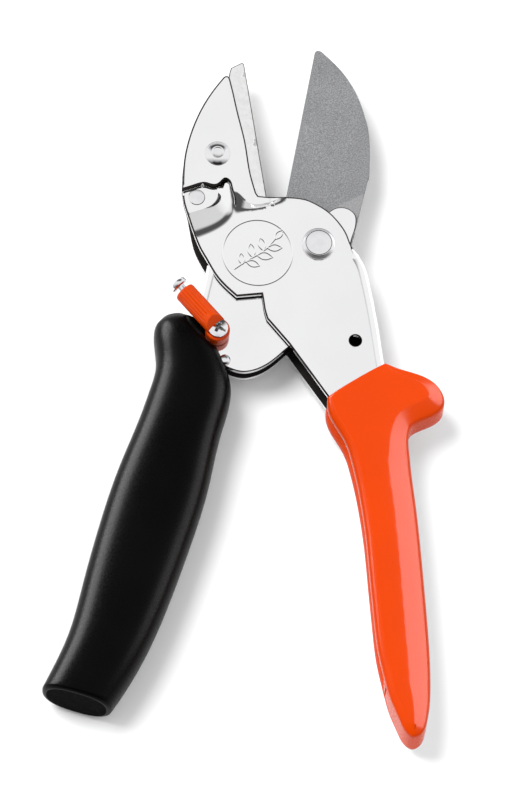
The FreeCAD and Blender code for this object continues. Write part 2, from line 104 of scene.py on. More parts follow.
def loop(start, *runs, step=0.8):
    """Closed outline: a tuple is the end of a straight run, a list gives the points of a smooth curve."""
    points = [np.array(start, float)]
    for run in runs:
        if isinstance(run, list):
            points += cubic([points[-1]] + run, step)[1:]
        else:
            points += straight(points[-1], np.array(run, float), step)
    if norm(points[-1] - points[0]) < 1e-6:
        points.pop()
    else:
        points += straight(points[-1], points[0], step)[:-1]
    return np.array(points)


def circle(centre, radius, count):
    """Counter-clockwise circle."""
    turn = np.linspace(0, 2 * pi, count, endpoint=False)
    return np.c_[centre[0] + radius * np.cos(turn), centre[1] + radius * np.sin(turn)]


def inward(points):
    """Normals to the left of the outline, scaled so that an offset keeps its distance at a corner."""
    ahead = np.roll(points, -1, 0) - points
    behind = points - np.roll(points, 1, 0)
    ahead /= norm(ahead, axis=1)[:, None]
    behind /= norm(behind, axis=1)[:, None]
    na = np.c_[-ahead[:, 1], ahead[:, 0]]
    nb = np.c_[-behind[:, 1], behind[:, 0]]
    mean = na + nb
    mean /= norm(mean, axis=1)[:, None]
    return mean / np.maximum((mean * na).sum(1), 0.5)[:, None]


def leftward(line):
    """Unit normals to the left of an open line."""
    ahead = np.gradient(line, axis=0)
    ahead /= norm(ahead, axis=1)[:, None]
    return np.c_[-ahead[:, 1], ahead[:, 0]]


def spread(values, times):
    """Mean of each value and its two neighbours round the outline, times over."""
    for _ in range(times):
        values = (np.roll(values, 1) + values + np.roll(values, -1)) / 3
    return values


def flat(height):
    """The same height at every point."""
    return lambda xy: np.full(len(xy), height)


def smooth(t):
    """0 up to t = 0, 1 from t = 1, and a soft step between."""
    t = np.clip(t, 0.0, 1.0)
    return t * t * (3 - 2 * t)


def inside(polygon, xy):
    """Which of the points lie in the polygon."""
    x, y = xy[:, 0], xy[:, 1]
    hit = np.zeros(len(xy), bool)
    for (x0, y0), (x1, y1) in zip(polygon, np.roll(polygon, -1, 0)):
        crosses = (y0 > y) != (y1 > y)
        if crosses.any():
            hit ^= crosses & (x < (x1 - x0) * (y - y0) / (y1 - y0 + 1e-12) + x0)
    return hit


def distance(line, xy, closed=False):
    """Distance of each point from a polyline."""
    line = np.array(line, float)
    ends = np.roll(line, -1, 0) if closed else line[1:]
    starts = line if closed else line[:-1]
    best = np.full(len(xy), 1e9)
    for a, b in zip(starts, ends):
        ab = b - a
        t = np.clip(((xy - a) @ ab) / (ab @ ab + 1e-12), 0, 1)
        best = np.minimum(best, norm(xy - a - t[:, None] * ab, axis=1))
    return best


# ---------------- meshes

def place(name, data):
    """A new object in the scene."""
    made = bpy.data.objects.new(name, data)
    bpy.context.scene.collection.objects.link(made)
    return made


class Shape:
    """Vertices in millimetres, heights from the mid-plane, and faces, each with the number of its finish."""

    def __init__(self, vertices=(), faces=(), finishes=None, flip=False):
        self.vertices = []
        self.faces = []
        self.finishes = []
        self.add(vertices, faces, finishes, flip)

    def add(self, vertices, faces, finishes=None, flip=False):
        first = len(self.vertices)
        self.vertices += [tuple(map(float, v)) for v in vertices]
        for face in faces:
            face = [first + i for i in face]
            self.faces.append(face[::-1] if flip else face)
        self.finishes += [0] * len(faces) if finishes is None else list(finishes)

    def add_mirrored(self, other):
        self.add([(x, y, -z) for x, y, z in other.vertices], other.faces, other.finishes, flip=True)

    def join(self, other):
        self.add(other.vertices, other.faces, other.finishes)

    def build(self, name, body, materials, node, angle=32.0):
        """The piece that stands for a CAD node, on a body, or on none yet.  Edges over angle degrees stay
        sharp."""
        materials = materials if isinstance(materials, list) else [materials]
        mesh = bpy.data.meshes.new(name)
        mesh.from_pydata([(x * MM, y * MM, (z + MID) * MM) for x, y, z in self.vertices], [], self.faces)
        for material in materials:
            mesh.materials.append(material)
        mesh.polygons.foreach_set("material_index", self.finishes)
        mesh.polygons.foreach_set("use_smooth", [True] * len(mesh.polygons))
        mesh.validate()
        mesh.set_sharp_from_angle(angle=radians(angle))
        piece = place(name, mesh)
        even = piece.modifiers.new("even_normals", "WEIGHTED_NORMAL")
        even.keep_sharp = True
        if body:
            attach(piece, body)
        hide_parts(node)
        return piece


def both_sides(half):
    """The shape and its mirror image in the mid-plane."""
    whole = Shape()
    whole.join(half)
    whole.add_mirrored(half)
    return whole


def walls(rows, reverse=False):
    """Faces between neighbouring closed rows of vertex numbers.  They look out if the rows run
    counter-clockwise and rise; reverse is for rows that run the other way."""
    faces = []
    for low, high in zip(rows, rows[1:]):
        for i in range(len(low)):
            j = (i + 1) % len(low)
            corners = (low[j], low[i], high[i], high[j]) if reverse else (low[i], low[j], high[j], high[i])
            corners = tuple(dict.fromkeys(corners))
            if len(corners) > 2:
                faces.append(corners)
    return faces


def cap(rings, extra, spacing):
    """Triangles that fill an outline, the first ring, and leave its holes, the others.  Returns the points,
    the rings' first and then extra, and the triangles."""
    outer, *holes = rings
    low, high = outer.min(0), outer.max(0)
    xs = np.arange(low[0], high[0], spacing)
    ys = np.arange(low[1], high[1], spacing * 0.866)
    grid = np.array([(x + (spacing / 2 if j % 2 else 0), y) for j, y in enumerate(ys) for x in xs])

    def filled(xy):
        keep = inside(outer, xy)
        for hole in holes:
            keep &= ~inside(hole, xy)
        return keep

    keep = filled(grid)
    for ring in rings:
        keep &= distance(ring, grid, closed=True) > spacing * 0.45
    if len(extra):
        for at in range(0, len(grid), 4000):
            part = grid[at:at + 4000]
            keep[at:at + 4000] &= np.min(norm(part[:, None] - extra[None], axis=2), axis=1) >= 0.35
    points = np.vstack([*rings, extra, grid[keep]])
    edges = []
    first = 0
    for ring in rings:
        edges += [(first + i, first + (i + 1) % len(ring)) for i in range(len(ring))]
        first += len(ring)
    got, _, faces, source, _, _ = delaunay_2d_cdt([Vector(p) for p in points], edges, [], 0, 1e-5)
    got = np.array([(v.x, v.y) for v in got])
    back = [s[0] if s else None for s in source]
    good = filled(np.array([got[list(f)].mean(0) for f in faces]))
    triangles = [tuple(back[i] for i in f) for f, ok in zip(faces, good) if ok]
    return points, [t for t in triangles if None not in t]


# Rounding sections, from the wall up to the face: how far in and how far down, in parts of the radius.
# QUARTER is a quarter circle; FACET is steep, then a nearly flat slope, as on the dipped handle.
QUARTER = [(1 - cos(radians(a)), 1 - sin(radians(a))) for a in (0, 15, 30, 47, 64, 78, 90)]
FACET = [(0.0, 1.0), (0.0, 0.68), (0.05, 0.49), (0.17, 0.365), (0.55, 0.185), (0.90, 0.025), (1.0, 0.0)]


def sheet(outline, top, bottom, radius, holes=(), fold=None, bend=3.0, wall=SHEET, extra=(), spacing=2.2,
          under=None, rim_finish=0, wall_finish=0, inner_finish=0, section=QUARTER):
    """A plate with rounded rims, from a counter-clockwise outline.  top and bottom give the heights of its
    faces.  radius is the upper rim's and under the lower rim's.  fold is 1 at outline points where the plate
    turns down into a web of the wall's thickness, with the outer radius bend and the given section.  radius,
    fold, bend and the finishes of rim and wall are one number, or one per outline point.  extra holds points
    for more vertices on the upper face."""
    extra = np.array(extra, float).reshape(-1, 2)
    vertices = []
    faces = []
    finishes = []
    upper = []
    lower = []
    for number, points in enumerate([outline] + [h[::-1] for h in holes]):
        count = len(points)
        weight = np.array(fold, float) if fold is not None and number == 0 else np.zeros(count)
        thick = top(points) - bottom(points)
        rim = np.broadcast_to(np.array(radius, float) if number == 0 else np.min(radius), count)
        low_rim = rim if under is None or number else np.broadcast_to(float(under), count)
        low_rim = np.minimum(low_rim, thick * 0.45)
        bends = np.broadcast_to(np.array(bend, float), count)
        rim = weight * bends + (1 - weight) * np.minimum(rim, thick - low_rim)
        normal = inward(points)
        rim_kind = np.broadcast_to(np.array(rim_finish if number == 0 else np.max(rim_finish)), count)
        wall_kind = np.broadcast_to(np.array(wall_finish if number == 0 else 0), count)
        rows = []
        for degrees in (90.0, 45.0, 0.0):
            c = cos(radians(degrees))
            s = sin(radians(degrees))
            plain_in = low_rim * (1 - c)
            plain_z = bottom(points) + low_rim * (1 - s)
            inner = np.maximum(bends - wall, 0.3)
            fold_in = wall + inner * (1 - c) if degrees else 0.0
            fold_z = top(points) - bends + (inner * s if degrees else 0.0)
            rows.append((
                points + normal * (weight * fold_in + (1 - weight) * plain_in)[:, None],
                weight * fold_z + (1 - weight) * plain_z,
            ))
        for (inward_by, down_by), (round_in, round_down) in zip(section, QUARTER):
            xy = points + normal * (rim * (weight * inward_by + (1 - weight) * round_in))[:, None]
            rows.append((xy, top(xy) - rim * (weight * down_by + (1 - weight) * round_down)))
        first = len(vertices)
        for xy, z in rows:
            vertices += [(x, y, h) for (x, y), h in zip(xy, z)]
        for k in range(len(rows) - 1):
            start = first + k * count
            faces += walls([range(start, start + count), range(start + count, start + 2 * count)])
            plain = (weight > 0.3) | (k == len(rows) - 2)
            kinds = np.where(plain, 0, wall_kind if k == 2 else rim_kind)
            finishes += [inner_finish] * count if k < 2 else [int(kind) for kind in kinds]
        lower.append((rows[0][0], first))
        upper.append((rows[-1][0], first + (len(rows) - 1) * count))
    for rings, height, flip in ((upper, top, False), (lower, bottom, True)):
        points, triangles = cap([ring for ring, _ in rings], extra[:0] if flip else extra, spacing)
        total = sum(len(ring) for ring, _ in rings)
        index = [first + i for ring, first in rings for i in range(len(ring))]
        index += list(range(len(vertices), len(vertices) + len(points) - total))
        if len(points) > total:
            vertices += [(x, y, h) for (x, y), h in zip(points[total:], height(points[total:]))]
        for a, b, c in triangles:
            pa, pb, pc = points[a], points[b], points[c]
            area = (pb[0] - pa[0]) * (pc[1] - pa[1]) - (pc[0] - pa[0]) * (pb[1] - pa[1])
            tri = (index[a], index[b], index[c]) if area > 0 else (index[a], index[c], index[b])
            faces.append(tri[::-1] if flip else tri)
            finishes.append(inner_finish if flip else 0)
    return Shape(vertices, faces, finishes)


def web(line, wall, half, inner_finish=0):
    """Upright strip inside an open outline, its outer side on the line.  half is half its height, one number
    or one per point."""
    line = np.array(line, float)
    inner = line + leftward(line) * wall
    half = np.broadcast_to(half, len(line))
    rows = [(line, -half), (line, 0 * half), (line, half), (inner, half + 0.7), (inner, 0 * half),
            (inner, -half - 0.7)]
    vertices = [(x, y, z) for xy, zs in rows for (x, y), z in zip(xy, zs)]
    n = len(line)
    faces = []
    finishes = []
    for k in range(6):
        for i in range(n - 1):
            a, b = k * n + i, ((k + 1) % 6) * n + i
            faces.append((a, a + 1, b + 1, b))
            finishes.append(inner_finish if k > 1 else 0)
    faces.append([k * n for k in range(6)])
    faces.append([k * n + n - 1 for k in range(6)][::-1])
    return Shape(vertices, faces, finishes + [inner_finish, inner_finish])


def turned(profile, count, point):
    """Vertices and rows from a profile; point(radius, distance, turn) places one, and an end of radius 0 has
    just one."""
    vertices = []
    rows = []
    for r, d in profile:
        turns = [2 * pi * i / count for i in range(count if r else 1)]
        row = list(range(len(vertices), len(vertices) + len(turns)))
        vertices += [point(r, d, turn) for turn in turns]
        rows.append(row if r else row * count)
    return vertices, rows


def lathe(profile, at=(0, 0), count=72, dent=None, second=None):
    """Turned piece about an upright axis from (radius, height) points, bottom to top.  dent(x, y, radius,
    height) is added to a height; second(x, y, radius, height) picks faces, by their middle, for the second
    finish."""
    def point(r, z, turn):
        x, y = r * cos(turn), r * sin(turn)
        return at[0] + x, at[1] + y, z + (dent(x, y, r, z) if dent else 0)

    vertices, rows = turned(profile, count, point)
    faces = walls(rows)
    finishes = [0] * len(faces)
    if second:
        for number, face in enumerate(faces):
            x, y, z = np.mean([vertices[v] for v in face], axis=0)
            x, y = x - at[0], y - at[1]
            finishes[number] = int(second(x, y, hypot(x, y), z))
    return Shape(vertices, faces, finishes)


def rounded(corners, radius=0.3, steps=4):
    """Profile with its corners rounded; the first and last points stay."""
    out = [corners[0]]
    for before, corner, after in zip(corners, corners[1:], corners[2:]):
        c = np.array(corner, float)
        a = np.array(before, float) - c
        b = np.array(after, float) - c
        cut = min(radius, norm(a) * 0.45, norm(b) * 0.45)
        pa = c + a / norm(a) * cut
        pb = c + b / norm(b) * cut
        for k in range(steps + 1):
            t = k / steps
            out.append(tuple((1 - t) ** 2 * pa + 2 * t * (1 - t) * c + t * t * pb))
    out.append(corners[-1])
    return out


def heading(degrees):
    """Level unit vector, from +X towards +Y."""
    return np.array([cos(radians(degrees)), sin(radians(degrees))])


def axes(direction):
    """The same in three dimensions, the level direction to its left, and up."""
    x, y = direction
    return np.array([x, y, 0.0]), np.array([-y, x, 0.0]), np.array([0.0, 0.0, 1.0])


def slotted_pin(start, direction, profile, half_slot, slot_depth, count=48):
    """Turned piece about a level axis, from (radius, distance) points, with a screwdriver's slot in its far
    end."""
    along, side, up = axes(direction)
    far = profile[-2][1] - 1e-6

    def point(r, d, turn):
        across = r * sin(turn)
        depth = slot_depth if d >= far and abs(across) < half_slot else 0.0
        return np.array(start, float) + along * (d - depth) + side * across + up * (r * cos(turn))

    vertices, rows = turned(profile, count, point)
    return Shape(vertices, walls(rows, reverse=True))


# ---------------- materials

def add_node(tree, kind, inputs, **settings):
    """A node with its settings; an input is a number, a vector, a colour or another node's output."""
    node = tree.nodes.new("ShaderNode" + kind)
    for name, value in settings.items():
        setattr(node, name, value)
    for name, value in inputs.items():
        if isinstance(value, bpy.types.NodeSocket):
            tree.links.new(value, node.inputs[name])
        else:
            node.inputs[name].default_value = value
    return node


def remap(tree, value, low, high, out_low=0.0, out_high=1.0):
    """The value moved from one range to another, and held inside it."""
    node = add_node(tree, "MapRange", {"Value": value, "From Min": low, "From Max": high, "To Min": out_low,
                                       "To Max": out_high})
    return node.outputs["Result"]


def mix(tree, factor, a, b, blend="MIX"):
    """Colours mixed; a plain colour is given as red, green and blue."""
    a, b = [(*colour, 1.0) if isinstance(colour, tuple) else colour for colour in (a, b)]
    node = add_node(tree, "Mix", {"Factor": factor, "A": a, "B": b}, data_type="RGBA", blend_type=blend)
    return node.outputs["Result"]


def surface(name, colour, second, metallic, rough, rough_range, detail, grain_size, relief, blotch=25.0,
            specular=0.5, speckle=0.0, zone=None):
    """Procedural finish.  colour and second mix over blotches of about blotch millimetres.  The fine grain,
    of grain_size millimetres, moves the roughness and the bump, which is relief millimetres high.  speckle is
    how far single grains darken or lighten the tone.  zone is (a, b, c, other colour, other roughness): the
    other finish shows where a x + b y + c, in millimetres, is above 0."""
    made = bpy.data.materials.new(name)
    made.use_nodes = True
    tree = made.node_tree
    shader = tree.nodes["Principled BSDF"]
    shader.inputs["Metallic"].default_value = metallic
    shader.inputs["Specular IOR Level"].default_value = specular
    where = tree.nodes.new("ShaderNodeTexCoord").outputs["Object"]

    def noise(size, levels):
        node = add_node(tree, "TexNoise", {"Vector": where, "Scale": PER_METRE / size, "Detail": levels})
        return node.outputs["Fac"]

    fine = noise(grain_size, detail)
    tone = mix(tree, remap(tree, noise(blotch, 3.0), 0.38, 0.62), colour, second)
    dull = remap(tree, fine, 0.3, 0.7, rough - rough_range, rough + rough_range)
    if zone:
        a, b, c, other, other_rough = zone
        normal = (a * PER_METRE, b * PER_METRE, 0.0)
        dot = add_node(tree, "VectorMath", {0: where, 1: normal}, operation="DOT_PRODUCT")
        edge = remap(tree, dot.outputs["Value"], -c - 0.15, -c + 0.15)
        other = mix(tree, remap(tree, fine, 0.35, 0.65), other, tuple(v * 0.86 for v in other))
        tone = mix(tree, edge, tone, other)
        other_dull = remap(tree, fine, 0.3, 0.7, other_rough - 0.04, other_rough + 0.04)
        dull = add_node(tree, "Mix", {"Factor": edge, "A": dull, "B": other_dull}).outputs["Result"]
    if speckle:
        grains = mix(tree, remap(tree, fine, 0.36, 0.64), (0.3, 0.3, 0.3), (1.6, 1.6, 1.6))
        tone = mix(tree, speckle, tone, grains, "MULTIPLY")
    bump = add_node(tree, "Bump", {"Strength": 1.0, "Distance": relief * MM, "Height": fine})
    for socket, value in (("Base Color", tone), ("Roughness", dull), ("Normal", bump.outputs["Normal"])):
        tree.links.new(value, shader.inputs[socket])
    return made


# The line where the blade's grind begins: its normal, which points to the tip, and the pivot's distance
GRIND_NORMAL = (-0.46, 0.888)
GRIND_AT = 9.45

chrome = surface("chromed_sheet", (0.90, 0.90, 0.905), (0.87, 0.87, 0.88), 1.0, 0.075, 0.02, 3.0, 1.2, 0.0005,
                 blotch=30.0)
# Near-black finish used on rims, slit walls, the pivot bolt's groove and one side of the jaw rivet: painted
# shade and painted dark reflection along edges, gaps and grooves.
edge_shade = surface("painted_edge_shade", (0.030, 0.024, 0.022), (0.014, 0.011, 0.010), 0.0, 0.45, 0.08, 5.0, 0.4,
                  0.004, blotch=5.0, specular=0.03)
# Near-black finish for the plates' undersides and the webs' insides: painted shade inside the folded
# channels.
inside_shade = surface("painted_inside_shade", (0.012, 0.011, 0.011), (0.020, 0.017, 0.016), 0.0, 0.6, 0.08, 4.0, 0.6,
                       0.006, blotch=10.0, specular=0.05)
plated = surface("plated_fastener", (0.82, 0.82, 0.83), (0.76, 0.76, 0.78), 1.0, 0.07, 0.02, 4.0, 0.7, 0.001,
                 blotch=4.0)
# Dark finish for the screw's cross recess: painted shade in the recess.
recess_shade = surface("painted_recess_shade", (0.16, 0.155, 0.15), (0.09, 0.085, 0.085), 0.6, 0.35, 0.08, 5.0, 0.4, 0.004,
                 blotch=2.0, specular=0.3)
skin = surface("handle_skin", (0.61, 0.046, 0.0), (0.59, 0.044, 0.0), 0.0, 0.25, 0.04, 4.0, 0.5, 0.003,
               blotch=18.0, specular=0.06)
black = surface("grip_black", (0.0008, 0.0008, 0.0009), (0.0014, 0.0012, 0.0012), 0.0, 0.31, 0.07, 6.0, 0.5,
                0.02, blotch=14.0, specular=0.04)
cut_black = surface("grip_end", (0.0020, 0.0018, 0.0018), (0.0040, 0.0034, 0.0034), 0.0, 0.8, 0.1, 6.0, 0.8,
                    0.05, blotch=4.0, specular=0.02)
orange = surface("lock_orange", (0.56, 0.050, 0.0), (0.54, 0.044, 0.0), 0.0, 0.34, 0.05, 4.0, 0.4, 0.003,
                 blotch=6.0, specular=0.2)
bar_steel = surface("anvil_steel", (0.88, 0.88, 0.88), (0.82, 0.82, 0.82), 1.0, 0.14, 0.04, 5.0, 0.6, 0.002,
                    blotch=2.0)
coated = surface("blade_coat", (0.212, 0.215, 0.220), (0.196, 0.199, 0.204), 0.0, 0.5, 0.1, 6.0, 0.34, 0.02,
                 blotch=12.0, specular=0.15, speckle=0.45,
                 zone=(-GRIND_NORMAL[0], -GRIND_NORMAL[1], GRIND_AT, (0.27, 0.27, 0.275), 0.42))
spring_wire = surface("spring_steel", (0.46, 0.46, 0.48), (0.38, 0.38, 0.40), 1.0, 0.22, 0.05, 4.0, 0.4,
                      0.002, blotch=3.0)
brass = surface("bearing_brass", (0.70, 0.52, 0.24), (0.62, 0.44, 0.20), 1.0, 0.26, 0.06, 4.0, 0.5, 0.002,
                blotch=3.0)
seat_plastic = surface("spring_seat_plastic", (0.020, 0.020, 0.022), (0.028, 0.028, 0.030), 0.0, 0.45, 0.06,
                       5.0, 0.4, 0.01, blotch=4.0, specular=0.3)


# ---------------- front of the anvil body

# Lines on the front plate.  The jaw lies lower than the head, from HEAD_EDGE down to JAW_FOOT; the tab is
# pressed in from RAMP_EDGE to TAB_EDGE.
HEAD_EDGE = np.array([(-70, 2)] + cubic(
    [(-24.6, 7.9), (-22.9, 8.9), (-20.5, 9.8), (-17.2, 10.5), (-13.6, 11.7), (-9.5, 12.9), (-7, 13.8)], 0.3))
JAW_FOOT = np.array([(-70, 14)] + cubic(
    [(-24.9, 16.6), (-23.4, 16.1), (-21.6, 14.4), (-19.8, 12.9), (-17.5, 12.6), (-13.6, 13.4), (-9.5, 14.6),
     (-7, 15.4)], 0.3))
RAMP_EDGE = np.array(cubic(
    [(-38, -0.5), (-35.1, 0.7), (-30.3, 2.9), (-26, 6), (-24.3, 8.4), (-23.7, 11.5), (-24.1, 14.4),
     (-25.3, 19.2)], 0.35))
TAB_EDGE = np.array(cubic(
    [(-40, 9.4), (-37.5, 10.2), (-35.1, 11), (-31.9, 12.2), (-29.8, 13.7), (-28.7, 16.1), (-28.9, 18),
     (-29.8, 20)], 0.25))
# The slit's two sides, along the jaw and along the tab
SLIT_JAW = [(-38.9, 17.15), (-36.5, 17.95), (-34, 18.85), (-32.5, 19.05), (-31, 18.65), (-29.3, 18.55),
            (-28, 19.5), (-26.7, 20.55), (-25.4, 19.8), (-24.7, 17.8), (-23.9, 14.6), (-23.75, 12.2)]
SLIT_TAB = [(-38.9, 17.03), (-36.5, 17.83), (-34, 18.73), (-32.5, 18.93), (-31, 18.53), (-29.3, 18.43),
            (-27.7, 18.75), (-26.5, 19.4), (-25.6, 18.9), (-24.95, 17.5), (-24.15, 14.6), (-24, 12.1)]
SLIT_MIDDLE = [((a + c) / 2, (b + d) / 2) for (a, b), (c, d) in zip(SLIT_JAW, SLIT_TAB)]
MEDALLION_AT = np.array([-17.5, -2.8])      # the engraved ring's centre
MEDALLION_R = 10.0
GROOVE = 0.07                   # depth of the engraving
GROOVE_HALF = 0.26              # half its width
HANG_HOLE_AT = (10.5, -29.3)
HANG_HOLE_R = 1.8
PIVOT_HOLE_R = 4.3


def between(start, end, xy):
    """0 up to the line start, 1 from the line end, and in step with the distances from both between them."""
    a = distance(start, xy)
    b = distance(end, xy)
    t = a / (a + b + 1e-9)
    return np.where(side_of(start, xy) < 0, 0.0, np.where(side_of(end, xy) > 0, 1.0, t))


def slope_down(t, bend):
    """Fall from 0 to 1 as t does: a rounded bend, over that share of t, an even slope, and a sharp foot."""
    return np.where(t < bend, t * t / (2 * bend), t - bend / 2) / (1 - bend / 2)


def side_of(line, xy):
    """1 on the left of a polyline and -1 on its right, judged at its nearest segment."""
    best = np.full(len(xy), 1e9)
    sign = np.zeros(len(xy))
    for a, b in zip(line, line[1:]):
        ab = b - a
        t = np.clip(((xy - a) @ ab) / (ab @ ab), 0, 1)
        away = norm(xy - a - t[:, None] * ab, axis=1)
        cross = ab[0] * (xy[:, 1] - a[1]) - ab[1] * (xy[:, 0] - a[0])
        closer = away < best - 1e-9
        best = np.where(closer, away, best)
        sign = np.where(closer, np.sign(cross), sign)
    return sign


def sprig_grooves():
    """Lines of the engraved sprig inside the ring: a stem and seven leaves."""
    leaf = [(0, 0), (0.25, 0.75), (0.55, 1), (0.85, 0.45), (1, 0)]
    lines = [np.array(cubic([(-6.6, -5.2), (-2.4, -2.2), (1.6, 0.4), (5, 4.2)], 0.3))]
    for at, turn, size in (((-4.4, -3.7), 95, 3.6), ((-3.2, -2.8), -18, 4), ((-1.4, -1.5), 98, 4.4),
                           ((-0.2, -0.7), -8, 4.6), ((1.8, 0.6), 105, 4.2), ((2.8, 1.5), 2, 4.2),
                           ((5, 4.2), 52, 3.6)):
        ahead = heading(turn)
        side = np.array([-ahead[1], ahead[0]])
        for bulge in (0.23, -0.23):
            curve = [np.array(at) + ahead * u * size + side * (v * bulge) * size for u, v in leaf]
            lines.append(np.array(cubic(curve, 0.3)))
    return [line + MEDALLION_AT for line in lines]


SPRIG = sprig_grooves()


def engraved(xy):
    """Depth of the engraving."""
    from_centre = norm(xy - MEDALLION_AT, axis=1)
    away = np.abs(from_centre - MEDALLION_R)
    near = from_centre < MEDALLION_R
    if near.any():
        away[near] = np.min([away[near]] + [distance(line, xy[near]) for line in SPRIG], axis=0)
    return GROOVE * (1 - smooth(away / GROOVE_HALF))


def plate_level(xy):
    """Outer face of the front plate: head, jaw, and the pressed-in tab with its ramp."""
    into_jaw = smooth((-8.2 - xy[:, 0]) / 7)
    jaw = HEAD - (HEAD - JAW) * into_jaw * slope_down(between(HEAD_EDGE, JAW_FOOT, xy), 0.35)
    ramp_top = HEAD - 1.8 * smooth((xy[:, 1] - 10) / 9.3)
    tab = ramp_top + (TAB - ramp_top) * slope_down(between(RAMP_EDGE, TAB_EDGE, xy), 0.34)
    tab_zone = SLIT_MIDDLE + [(-23.9, 12.4), (-24, -4), (-48, -4), (-48, 16)]
    share = 1.0 - inside(tab_zone, xy).astype(float)
    below_slit = (xy[:, 1] < 12.6) & (xy[:, 0] > -30)
    return tab + (jaw - tab) * np.where(below_slit, smooth((xy[:, 0] + 24.7) / 1.5), share)


def plate_top(xy):
    return plate_level(xy) - engraved(xy)


def plate_under(xy):
    return plate_level(xy) - SHEET


def front_outline():
    return loop(
        (-35.5, 1.9),
        [(-34, -1.9), (-32.3, -5), (-29.4, -10.1), (-23.5, -16.3)],
        (-16.3, -15.5),
        [(-16, -17.2), (-15.6, -20), (-14.8, -23)],
        (-8.5, -30.6),
        (2.7, -46.7),
        (7, -58),
        (24, -60),
        [(19, -36), (16.9, -22), (14.8, -11), (13.1, -5), (11.6, WEB_TOP)],
        (9.9, -1),
        [(9.2, 0.5), (8.1, 3.5), (5.7, 7.3), (3.1, 10.1), (-0.3, 12.4), (-3.6, 13.9), (-8.1, 14.5)],
        (-17.2, 15.3),
        (-17.8, 16.2),
        [(-19.4, 22.2), (-20.9, 31.8), (-22.9, 40.4), (-24.4, 47.4), (-25.3, 51.2)],
        [(-25.6, 51.9), (-26.4, 52.2), (-27.1, 51.9), (-27.5, 51.4)],
        [(-29.4, 48.9), (-31.6, 45.6), (-33.8, 41.6), (-35.8, 36.9), (-37.3, 32.2), (-38.5, 26.2),
         (-38.9, 19)],
        SLIT_JAW[0],
        SLIT_JAW[1:],
        SLIT_TAB[-1],
        SLIT_TAB[-2::-1],           # the slit's way back, on the tab's side
        [(-38.5, 13.6), (-37.6, 10.4), (-36.6, 6.2), (-35.5, 1.9)],
        step=0.6,
    )


def close_points():
    """Extra vertices where the front plate bends or is engraved."""
    found = np.array([(x, y) for x in np.arange(-38.7, -5, 0.36) for y in np.arange(0.0, 21.4, 0.36)])
    level = plate_level(found)
    bent = (found[:, 0] > -25) & (found[:, 1] > 8)
    for step in ((0.7, 0), (-0.7, 0), (0, 0.7), (0, -0.7)):
        bent |= np.abs(plate_level(found + step) - level) > 0.003
    found = found[bent]
    turns = np.linspace(0, 2 * pi, 180, endpoint=False)
    marks = [MEDALLION_AT + r * np.c_[np.cos(turns), np.sin(turns)]
             for r in (9.4, 9.56, 9.72, 9.86, 10.0, 10.14, 10.28, 10.44, 10.6)]
    lines = [(line, (0.0, -0.14, 0.14, -0.28, 0.28, -0.42, 0.42)) for line in SPRIG]
    lines += [(TAB_EDGE, (0.0, -0.14, 0.14)), (JAW_FOOT[1:], (0.0, -0.35, 0.35)), (HEAD_EDGE[1:], (0.0,))]
    for line, offsets in lines:
        marks += [line + leftward(line) * offset for offset in offsets]
        found = found[distance(line, found) > 0.42]
    return np.vstack(marks + [found])


def thin(points, least):
    """Drops points closer than least to an earlier one."""
    kept = {}
    for x, y in points:
        column, row = int(x // least), int(y // least)
        near = [q for i in (-1, 0, 1) for j in (-1, 0, 1) for q in kept.get((column + i, row + j), ())]
        if all((px - x) ** 2 + (py - y) ** 2 >= least * least for px, py in near):
            kept.setdefault((column, row), []).append((x, y))
    return np.array([p for cell in kept.values() for p in cell])


def make_shell():
    outline = front_outline()
    folded = (outline[:, 0] > 10.5) & (outline[:, 1] > -59) & (outline[:, 1] < 0)
    slit = distance(SLIT_MIDDLE, outline) < 0.9
    slit_end = int(np.argmin(norm(outline - SLIT_JAW[-1], axis=1)))
    jaw_side = slit & (np.arange(len(outline)) <= slit_end)
    dense = close_points()
    keep = inside(outline, dense) & (distance(outline, dense, closed=True) > 0.55)
    keep &= norm(dense, axis=1) > PIVOT_HOLE_R + 0.5
    dense = thin(dense[keep], 0.12)
    # inner_finish 2 paints the undersides near-black, as painted shade inside the channel.
    same = dict(
        holes=[circle((0, 0), PIVOT_HOLE_R, 64), circle(HANG_HOLE_AT, HANG_HOLE_R, 40)],
        fold=spread(folded.astype(float), 3), bend=FOLD_R, inner_finish=2,
    )
    # Rims are painted near-black, except on the slit's tab side, and so are the slit's walls: painted dark
    # reflection on the rims and painted shadow in the slit.
    shell = sheet(outline, plate_top, plate_under, np.where(slit, 0.2, 0.55), extra=dense,
                  rim_finish=np.where(slit & ~jaw_side, 0, 1), wall_finish=slit.astype(int), **same)
    not_engraved = norm(dense - MEDALLION_AT, axis=1) > 11.0
    shell.add_mirrored(sheet(outline, plate_level, plate_under, 0.5, extra=dense[not_engraved], **same))
    line = cubic([(24, -60), (19, -36), (16.9, -22), (14.8, -11), (13.1, -5), (11.6, WEB_TOP)], 1.2)
    # The web's inside is painted near-black too, as painted shade inside the channel.
    shell.join(web(line, SHEET, HEAD - FOLD_R, inner_finish=2))
    return shell


make_shell().build("anvil_body_front_and_back", "anvil_body",
                   [chrome, edge_shade, inside_shade], "anvil_body_shell", angle=22.5)


# ---------------- dipped handle

